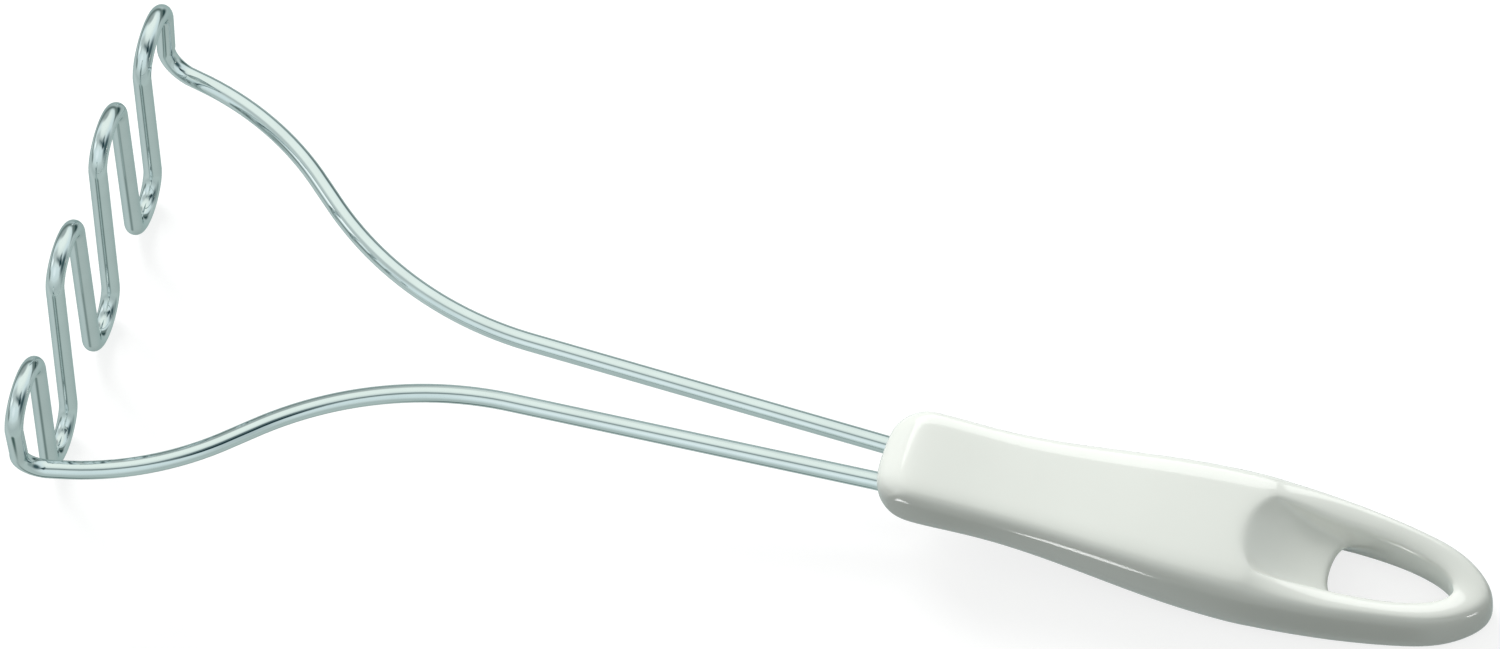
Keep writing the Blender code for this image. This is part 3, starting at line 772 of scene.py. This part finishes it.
def new_group(name, inputs, outputs):
    """A new node group, with the nodes that hold its inputs and its outputs."""
    tree = bpy.data.node_groups.new(name, "ShaderNodeTree")
    for in_out, sockets in (("INPUT", inputs), ("OUTPUT", outputs)):
        for socket, kind in sockets.items():
            tree.interface.new_socket(socket, in_out=in_out, socket_type="NodeSocket" + kind)
    return tree, tree.nodes.new("NodeGroupInput"), tree.nodes.new("NodeGroupOutput")


def surface_marks_group():
    """Node group for the slight unevenness of a surface.

    Cloud is a slow variation, Marks are faint streaks along X and Grain is a fine roughness.
    """
    group_name = "surface marks"
    if group_name in bpy.data.node_groups:
        return bpy.data.node_groups[group_name]
    tree, given, made = new_group(
        group_name,
        {"Vector": "Vector", "Cloud Scale": "Float", "Streak Scale": "Vector", "Grain Scale": "Float"},
        {"Cloud": "Float", "Marks": "Float", "Grain": "Float"},
    )
    place, scales = given.outputs["Vector"], given.outputs
    stretch = add_node(
        tree, "ShaderNodeMapping", "streaks", {"Vector": place, "Scale": scales["Streak Scale"]}
    )
    for name, vector, scale, detail, roughness in (
        ("Cloud", place, scales["Cloud Scale"], 3.0, 0.5),
        ("Marks", stretch.outputs["Vector"], 1.0, 4.0, 0.65),
        ("Grain", place, scales["Grain Scale"], 2.0, 0.6),
    ):
        inputs = {"Vector": vector, "Scale": scale, "Detail": detail, "Roughness": roughness}
        noise = add_node(tree, "ShaderNodeTexNoise", name, inputs)
        tree.links.new(noise.outputs["Fac"], made.inputs[name])
    return tree


def add_marks(tree, vector, cloud, streaks, grain):
    """The marks of a surface, each kind at its own scale."""
    inputs = {"Vector": vector, "Cloud Scale": cloud, "Streak Scale": streaks, "Grain Scale": grain}
    return add_node(tree, "ShaderNodeGroup", "marks", inputs, node_tree=surface_marks_group()).outputs


def add_range(tree, label, value, low, high, from_low=NOISE_LOW, from_high=NOISE_HIGH):
    """Carries a value from one range to another, by default from the range that noise fills."""
    inputs = {"Value": value, "From Min": from_low, "From Max": from_high, "To Min": low, "To Max": high}
    return add_node(tree, "ShaderNodeMapRange", label, inputs).outputs["Result"]


def add_mix(tree, label, mask, low, high):
    """Mixes two colours: the first where the mask is 0, the second where it is 1."""
    mix = add_node(tree, "ShaderNodeMix", label, {"Factor": mask}, data_type="RGBA")
    colours = [socket for socket in mix.inputs if socket.type == "RGBA"]
    set_socket(tree, colours[0], low)
    set_socket(tree, colours[1], high)
    return next(socket for socket in mix.outputs if socket.type == "RGBA")


def vary_surface(tree, shader, colour, tone, gloss, height, *, shades, roughness, strength, depth):
    """Varies a surface by marks: its colour between two shades, its roughness, and its relief."""
    share = add_range(tree, "tone", tone, 0.0, 1.0)
    dark, light = ([channel * shade for channel in colour] for shade in shades)
    inputs = {"Height": height, "Strength": strength, "Distance": depth}
    relief = add_node(tree, "ShaderNodeBump", "relief", inputs)
    set_socket(tree, shader.inputs["Base Color"], add_mix(tree, "colour", share, dark, light))
    set_socket(tree, shader.inputs["Roughness"], add_range(tree, "gloss", gloss, *roughness))
    set_socket(tree, shader.inputs["Normal"], relief.outputs["Normal"])


def chrome_material(finish):
    """Bright chrome plating on drawn wire, with faint streaks along the wire."""
    material, tree, shader = new_material("bright_chrome")
    place = add_node(tree, "ShaderNodeAttribute", "straightened", attribute_name="straightened")
    marks = add_marks(tree, place.outputs["Vector"], cloud=90.0, streaks=(60.0, 1600.0, 1600.0), grain=900.0)
    vary_surface(
        tree, shader, finish.chrome, marks["Cloud"], marks["Marks"], marks["Marks"],
        shades=(0.94, 1.0), roughness=(0.03, 0.08), strength=0.12, depth=0.00002,
    )
    set_socket(tree, shader.inputs["Metallic"], 1.0)
    set_socket(tree, shader.inputs["Specular Tint"], finish.chrome_edge)
    return material


def ivory_material(finish):
    """Glossy ivory moulding: a slight cloudiness in its colour and a faint unevenness in its gloss."""
    material, tree, shader = new_material("ivory_moulding")
    place = add_node(tree, "ShaderNodeTexCoord", "place")
    marks = add_marks(tree, place.outputs["Object"], cloud=45.0, streaks=(40.0, 260.0, 260.0), grain=1400.0)
    vary_surface(
        tree, shader, finish.ivory, marks["Cloud"], marks["Marks"], marks["Cloud"],
        shades=(0.985, 1.01), roughness=(0.06, 0.10), strength=0.06, depth=0.0002,
    )
    set_socket(tree, shader.inputs["IOR"], 1.5)
    return material


def core_material(finish):
    """Plain unpolished moulding, with flow marks."""
    material, tree, shader = new_material("core_moulding")
    place = add_node(tree, "ShaderNodeTexCoord", "place")
    marks = add_marks(tree, place.outputs["Object"], cloud=60.0, streaks=(30.0, 200.0, 200.0), grain=2400.0)
    vary_surface(
        tree, shader, finish.core, marks["Marks"], marks["Grain"], marks["Grain"],
        shades=(0.9, 1.05), roughness=(0.45, 0.6), strength=0.3, depth=0.0001,
    )
    return material


# ------------------------------------------------------------------ studio

WHITE = (1.0, 1.0, 1.0)
FLOOR_GREY = (0.3, 0.3, 0.3)
FLOOR_GLOW = 0.78  # with the lit grey, it takes the open floor to white and leaves the shadow


def choose_shader(tree, label, mask, otherwise, chosen):
    """One shader where the mask is 1, and the other where it is 0."""
    inputs = {0: mask, 1: otherwise.outputs[0], 2: chosen.outputs[0]}
    return add_node(tree, "ShaderNodeMixShader", label, inputs)


def floor_material(stage):
    """A floor that looks white and keeps soft shadows, and gives back less light than it shows."""
    material = bpy.data.materials.new("studio_floor")
    material.use_nodes = True
    tree = material.node_tree
    tree.nodes.clear()
    output = tree.nodes.new("ShaderNodeOutputMaterial")
    paths = tree.nodes.new("ShaderNodeLightPath")
    lit = add_node(tree, "ShaderNodeBsdfDiffuse", "lit floor", {"Color": FLOOR_GREY})
    glow = add_node(tree, "ShaderNodeEmission", "white floor", {"Color": WHITE, "Strength": FLOOR_GLOW})
    shown = add_node(tree, "ShaderNodeAddShader", "shown floor", {0: lit.outputs[0], 1: glow.outputs[0]})
    bounce = add_node(tree, "ShaderNodeBsdfDiffuse", "floor bounce", {"Color": stage.bounce})
    surface = choose_shader(tree, "floor", paths.outputs["Is Camera Ray"], bounce, shown)
    tree.links.new(surface.outputs[0], output.inputs["Surface"])
    return material


def studio_direction(azimuth, elevation):
    """A direction in the studio: azimuth from its front towards its right, both in degrees."""
    a, e = math.radians(azimuth), math.radians(elevation)
    return (math.sin(a) * math.cos(e), -math.cos(a) * math.cos(e), math.sin(e))


def add_ramp(tree, label, value, stops):
    """A colour for each share from 0 to 1, between stops."""
    ramp = add_node(tree, "ShaderNodeValToRGB", label, {"Fac": value})
    elements = ramp.color_ramp.elements
    while len(elements) < len(stops):
        elements.new(0.5)
    for element, (position, colour) in zip(elements, stops):
        element.position = position
        element.color = (*colour, 1.0)
    return ramp.outputs["Color"]


def add_dot(tree, label, vector, way):
    """How far a direction goes along another one."""
    dot = add_node(tree, "ShaderNodeVectorMath", label, {0: vector, 1: way}, operation="DOT_PRODUCT")
    return dot.outputs["Value"]


def add_math(tree, label, operation, *values):
    """The result of one sum."""
    inputs = dict(enumerate(values))
    return add_node(tree, "ShaderNodeMath", label, inputs, operation=operation).outputs[0]


def soft_card_group():
    """Node group for one soft round patch of the studio: 1 within Inner of Facing, 0 beyond Outer."""
    sockets = {"Direction": "Vector", "Facing": "Vector", "Inner": "Float", "Outer": "Float"}
    tree, given, made = new_group("soft card", sockets, {"Card": "Float"})
    given = given.outputs
    nearly = add_dot(tree, "how nearly it faces", given["Direction"], given["Facing"])
    angle = add_math(tree, "angle away", "ARCCOSINE", nearly)
    inputs = {
        "Value": angle, "From Min": given["Inner"], "From Max": given["Outer"], "To Min": 1.0, "To Max": 0.0
    }
    edge = add_node(tree, "ShaderNodeMapRange", "soft edge", inputs, interpolation_type="SMOOTHSTEP")
    tree.links.new(edge.outputs["Result"], made.inputs["Card"])
    return tree


# Colour of the studio by the height looked at, from straight down (0) to straight up (1)
STUDIO_HEIGHTS = (
    (0.00, (0.47, 0.55, 0.53)),
    (0.10, (0.50, 0.61, 0.59)),
    (0.30, (0.46, 0.56, 0.55)),
    (0.45, (0.58, 0.69, 0.68)),
    (0.54, (0.70, 0.83, 0.83)),
    (0.75, (0.76, 0.90, 0.92)),
    (0.90, (0.76, 0.88, 0.87)),
    (1.00, (0.70, 0.80, 0.78)),
)
# Round patches: azimuth, elevation, inner and outer radius in degrees, colour
STUDIO_CARDS = (
    (160.0, 58.0, 20.0, 60.0, (0.95, 1.05, 1.00)),
    (-98.0, 45.0, 8.0, 30.0, (0.54, 0.63, 0.62)),
    (-168.0, 8.0, 10.0, 38.0, (0.28, 0.35, 0.34)),
    (-177.0, 31.0, 6.0, 24.0, (0.40, 0.47, 0.46)),
    (-95.0, 27.0, 4.0, 12.0, (1.15, 1.25, 1.25)),
    (-86.0, 0.0, 5.0, 16.0, (0.22, 0.29, 0.28)),
    (-121.0, -6.0, 4.0, 13.0, (0.95, 1.05, 1.04)),
    (-38.0, 30.0, 6.0, 22.0, (0.88, 1.00, 1.02)),
    (34.0, 54.0, 3.0, 17.0, (0.14, 0.20, 0.21)),
    (27.0, 39.0, 5.0, 16.0, (0.01, 0.04, 0.05)),
    (50.0, 9.0, 8.0, 38.0, (0.05, 0.10, 0.11)),
    (60.0, -26.0, 6.0, 26.0, (0.27, 0.36, 0.35)),
    (126.0, -9.0, 8.0, 25.0, (0.02, 0.06, 0.06)),
    (-100.0, -50.0, 10.0, 40.0, (0.60, 0.70, 0.69)),
    (-37.0, -56.0, 4.0, 16.0, (0.08, 0.14, 0.13)),
)

# Light from all round, by the same height
AMBIENT_HEIGHTS = (
    (0.50, (0.98, 1.00, 0.98)),
    (0.65, (0.73, 0.76, 0.74)),
    (1.00, (0.40, 0.42, 0.41)),
)
# The dark gap between the softbox and the wall, overhead: the ways across it and along it, and where across
# it begins, is darkest and ends. Both ways are measured on a level ceiling one unit above the masher.
GAP_ACROSS = (-0.655, -0.7556, 0.0)
GAP_ALONG = (0.7556, -0.655, 0.0)
GAP_EDGES = (0.14, 0.46, 0.80)
GAP_HALF_LENGTH = 1.2
GAP_FADE = (0.25, 0.45)  # it fades in between these sines of the elevation
GAP_COLOURS = (
    (0.00, (0.62, 0.70, 0.68)),
    (0.30, (0.34, 0.42, 0.42)),
    (0.60, (0.14, 0.20, 0.21)),
    (0.85, (0.03, 0.08, 0.09)),
)
LOWEST_RISE = 0.02
# The dark line of the horizon behind the masher, with the sines of the angles that it fades between
HORIZON_COLOUR = (0.16, 0.22, 0.21)
HORIZON_FADE = (0.04, 0.22)
BEHIND_FADE = (-0.15, 0.30)


def gap_overhead(tree, direction, rise, colour):
    """Lays the gap between the softbox and the wall over the studio."""
    above = add_math(tree, "above the table", "MAXIMUM", rise, LOWEST_RISE)
    across = add_dot(tree, "towards the gap", direction, GAP_ACROSS)
    along = add_dot(tree, "along the gap", direction, GAP_ALONG)
    depth = add_math(tree, "depth", "DIVIDE", across, above)
    side = add_math(tree, "side", "DIVIDE", along, above)
    begin, middle, end = GAP_EDGES
    near_edge = add_range(tree, "softbox edge", depth, 0.0, 1.0, begin, middle)
    far_edge = add_range(tree, "wall edge", depth, 1.0, 0.0, middle, end)
    gap = add_math(tree, "gap", "MULTIPLY", near_edge, far_edge)
    ceiling = add_range(tree, "ceiling", rise, 0.0, 1.0, *GAP_FADE)
    gap = add_math(tree, "gap above the table", "MULTIPLY", gap, ceiling)
    place = add_range(tree, "along", side, 0.0, 1.0, -GAP_HALF_LENGTH, GAP_HALF_LENGTH)
    shade = add_ramp(tree, "gap colour", place, GAP_COLOURS)
    return add_mix(tree, "gap between softbox and wall", gap, colour, shade)


def hang_cards(tree, direction, colour):
    """Lays the round patches over the studio."""
    soft_card = soft_card_group()
    for azimuth, elevation, inner, outer, tone in STUDIO_CARDS:
        inputs = {
            "Direction": direction,
            "Facing": studio_direction(azimuth, elevation),
            "Inner": math.radians(inner),
            "Outer": math.radians(outer),
        }
        card = add_node(tree, "ShaderNodeGroup", "card", inputs, node_tree=soft_card)
        colour = add_mix(tree, "card over", card.outputs["Card"], colour, tone)
    return colour


def horizon_behind(tree, direction, rise, colour):
    """Lays the dark horizon behind the masher over the studio."""
    level = add_math(tree, "off the horizon", "ABSOLUTE", rise)
    dip = add_range(tree, "horizon", level, 1.0, 0.0, *HORIZON_FADE)
    backwards = add_dot(tree, "backwards", direction, (0.0, 1.0, 0.0))
    behind = add_range(tree, "behind", backwards, 0.0, 1.0, *BEHIND_FADE)
    mask = add_math(tree, "horizon behind", "MULTIPLY", dip, behind)
    return add_mix(tree, "dark horizon behind", mask, colour, HORIZON_COLOUR)


def studio_world(stage):
    """The studio all round: the white backdrop, what the gloss shows, and the light from all sides."""
    world = bpy.data.worlds.new("studio")
    world.use_nodes = True
    tree = world.node_tree
    tree.nodes.clear()
    output = tree.nodes.new("ShaderNodeOutputWorld")
    paths = tree.nodes.new("ShaderNodeLightPath")
    place = tree.nodes.new("ShaderNodeTexCoord")
    inputs = {"Vector": place.outputs["Generated"], "Rotation": (0.0, 0.0, -stage.front)}
    turn = add_node(tree, "ShaderNodeMapping", "studio front", inputs, vector_type="POINT")
    direction = turn.outputs["Vector"]
    rise = add_dot(tree, "rise", direction, (0.0, 0.0, 1.0))
    height = add_dot(tree, "height", direction, (0.0, 0.0, 0.5))
    height = add_math(tree, "height from below", "ADD", height, 0.5)

    colour = add_ramp(tree, "studio walls", height, STUDIO_HEIGHTS)
    colour = gap_overhead(tree, direction, rise, colour)
    colour = hang_cards(tree, direction, colour)
    colour = horizon_behind(tree, direction, rise, colour)
    sky = add_ramp(tree, "ambient by height", height, AMBIENT_HEIGHTS)
    kind = "ShaderNodeBackground"
    reflected = add_node(tree, kind, "seen in reflections", {"Color": colour})
    ambient = add_node(tree, kind, "ambient light", {"Color": sky, "Strength": stage.ambient})
    white = add_node(tree, kind, "white backdrop", {"Color": WHITE, "Strength": 1.0})
    lighting = choose_shader(tree, "reflections", paths.outputs["Is Glossy Ray"], ambient, reflected)
    seen = choose_shader(tree, "backdrop", paths.outputs["Is Camera Ray"], lighting, white)
    tree.links.new(seen.outputs[0], output.inputs["Surface"])
    return world


# Lamps: name, azimuth from the camera's side and elevation in degrees, width and depth, the setting that
# holds its power, and whether it lights every piece. The others only show in the gloss of the handle.
LAMP_DISTANCE = 1.35
LAMPS = (
    ("key softbox", -166.0, 34.0, 0.70, 0.70, "key_power", True),
    ("back softbox", 168.0, 38.0, 1.15, 0.85, "sheen_power", False),
    ("left strip lamp", -53.5, -42.0, 0.14, 0.26, "left_strip_power", False),
    ("right strip lamp", 34.0, -14.0, 0.24, 0.44, "right_strip_power", False),
)


def add_lamp(name, direction, width, depth, power, shown_on):
    """A rectangular lamp that faces the masher. With a piece to show on, it only shows in its gloss."""
    place = Vector(direction) * LAMP_DISTANCE
    start_alone()
    bpy.ops.object.light_add(type="AREA", location=place)
    lamp = bpy.context.object
    lamp.name = name
    lamp.data.shape = "RECTANGLE"
    lamp.data.size = width
    lamp.data.size_y = depth
    lamp.data.energy = power
    lamp.visible_diffuse = shown_on is None
    lamp.visible_glossy = shown_on is not None
    lamp.rotation_euler = (-place).to_track_quat("-Z", "Y").to_euler()
    if shown_on:
        lit = bpy.data.collections.new(name + " lights")
        lit.objects.link(shown_on)
        lamp.light_linking.receiver_collection = lit
        lamp.light_linking.blocker_collection = lit


class MASHER_OT_set_stage(Operator):
    """Lay the pale floor, light it softly and place the camera"""

    bl_idname = "masher.set_stage"
    bl_label = "Set the stage"

    def execute(self, context):
        stage = context.scene.masher_stage
        start_alone()
        bpy.ops.mesh.primitive_plane_add(size=stage.floor_size, location=(0.0, 0.0, 0.0))
        floor = name_piece("floor")
        floor.data.materials.append(floor_material(stage))
        floor.visible_glossy = False
        context.scene.world = studio_world(stage)
        front = math.degrees(stage.front)
        handle = bpy.data.objects["handle_moulding"]
        for name, azimuth, elevation, width, depth, power, lights_all in LAMPS:
            direction = studio_direction(front + azimuth, elevation)
            add_lamp(name, direction, width, depth, getattr(stage, power), None if lights_all else handle)
        start_alone()
        bpy.ops.object.camera_add(location=stage.camera_place, rotation=stage.camera_turn)
        camera = bpy.context.object
        camera.name = "product camera"
        camera.data.lens = stage.camera_lens
        camera.data.clip_start = 0.1
        camera.data.clip_end = 100.0
        camera.data.dof.use_dof = False
        context.scene.camera = camera
        context.scene.view_settings.view_transform = "Standard"
        return {"FINISHED"}


# ------------------------------------------------------------------ add-on


class MasherWireSizes(PropertyGroup):
    diameter: FloatProperty(
        name="Diameter", description="Thickness of the wire", default=0.004, unit="LENGTH",
        min=0.001, max=0.01,
    )


class MasherHandleSizes(PropertyGroup):
    rounding_levels: IntProperty(
        name="Rounding", description="How finely the handle is rounded", default=3, min=1, max=4
    )


class MasherFinishes(PropertyGroup):
    chrome: FloatVectorProperty(
        name="Chrome", description="Colour of the plating", default=(0.79, 0.83, 0.83),
        subtype="COLOR", min=0, max=1,
    )
    chrome_edge: FloatVectorProperty(
        name="Chrome edge", description="Tint of the plating where it turns away",
        default=(0.72, 0.78, 0.78), subtype="COLOR", min=0, max=1,
    )
    ivory: FloatVectorProperty(
        name="Ivory", description="Colour of the handle", default=(0.785, 0.80, 0.757),
        subtype="COLOR", min=0, max=1,
    )
    core: FloatVectorProperty(
        name="Core", description="Colour of the core inside the handle", default=(0.55, 0.56, 0.53),
        subtype="COLOR", min=0, max=1,
    )


class MasherStage(PropertyGroup):
    floor_size: FloatProperty(name="Floor", description="Width of the floor", default=12.0, unit="LENGTH")
    bounce: FloatVectorProperty(
        name="Bounce", description="Colour of the floor as it throws light back",
        default=(0.05, 0.055, 0.05), subtype="COLOR", min=0, max=1,
    )
    ambient: FloatProperty(
        name="Ambient", description="How much of the studio's brightness lights the object from all round",
        default=0.92, min=0, max=1, subtype="FACTOR",
    )
    key_power: FloatProperty(
        name="Key softbox", description="Power of the softbox that lights the masher", default=18.5,
        unit="POWER",
    )
    sheen_power: FloatProperty(
        name="Back softbox", description="Power of the softbox that the handle shines in", default=9.0,
        unit="POWER",
    )
    left_strip_power: FloatProperty(
        name="Left strip", description="Power of the lamp that shows on the handle's left", default=0.7,
        unit="POWER",
    )
    right_strip_power: FloatProperty(
        name="Right strip", description="Power of the lamp that shows on the handle's right", default=2.4,
        unit="POWER",
    )
    front: FloatProperty(
        name="Front", description="Which way the front of the studio faces, from -Y towards +X",
        default=math.radians(28.31), subtype="ANGLE",
    )
    camera_place: FloatVectorProperty(
        name="Camera", description="Where the camera stands", default=(1.09338, -2.03171, 3.90199),
        subtype="TRANSLATION", unit="LENGTH", precision=5,
    )
    camera_turn: FloatVectorProperty(
        name="Camera turn", description="How the camera is turned",
        default=tuple(math.radians(a) for a in (30.3489, 6.7003, 17.0388)), subtype="EULER",
    )
    camera_lens: FloatProperty(name="Lens", description="Focal length in millimetres", default=512.888)


class MASHER_PT_sidebar(Panel):
    """Builds the masher and its studio, piece by piece"""

    bl_idname = "MASHER_PT_sidebar"
    bl_label = "Potato masher"
    bl_space_type = "VIEW_3D"
    bl_region_type = "UI"
    bl_category = "Masher"

    def draw(self, context):
        for settings in ("masher_wire", "masher_handle", "masher_finish", "masher_stage"):
            group = getattr(context.scene, settings)
            box = self.layout.box()
            for name in group.__annotations__:
                box.prop(group, name)
        for operator in OPERATORS:
            self.layout.operator(operator.bl_idname)


OPERATORS = (MASHER_OT_bend_wire, MASHER_OT_mould_handle, MASHER_OT_finish_core, MASHER_OT_set_stage)
SETTINGS = {
    "masher_wire": MasherWireSizes,
    "masher_handle": MasherHandleSizes,
    "masher_finish": MasherFinishes,
    "masher_stage": MasherStage,
}


def register():
    for cls in (*SETTINGS.values(), *OPERATORS, MASHER_PT_sidebar):
        bpy.utils.register_class(cls)
    for name, group in SETTINGS.items():
        setattr(bpy.types.Scene, name, PointerProperty(type=group))


def unregister():
    for name in SETTINGS:
        delattr(bpy.types.Scene, name)
    for cls in reversed((*SETTINGS.values(), *OPERATORS, MASHER_PT_sidebar)):
        bpy.utils.unregister_class(cls)


def main():
    register()
    bpy.ops.masher.bend_wire()
    bpy.ops.masher.mould_handle()
    bpy.ops.masher.finish_core()
    bpy.ops.masher.set_stage()
    start_alone()


if __name__ == "__main__":
    main()
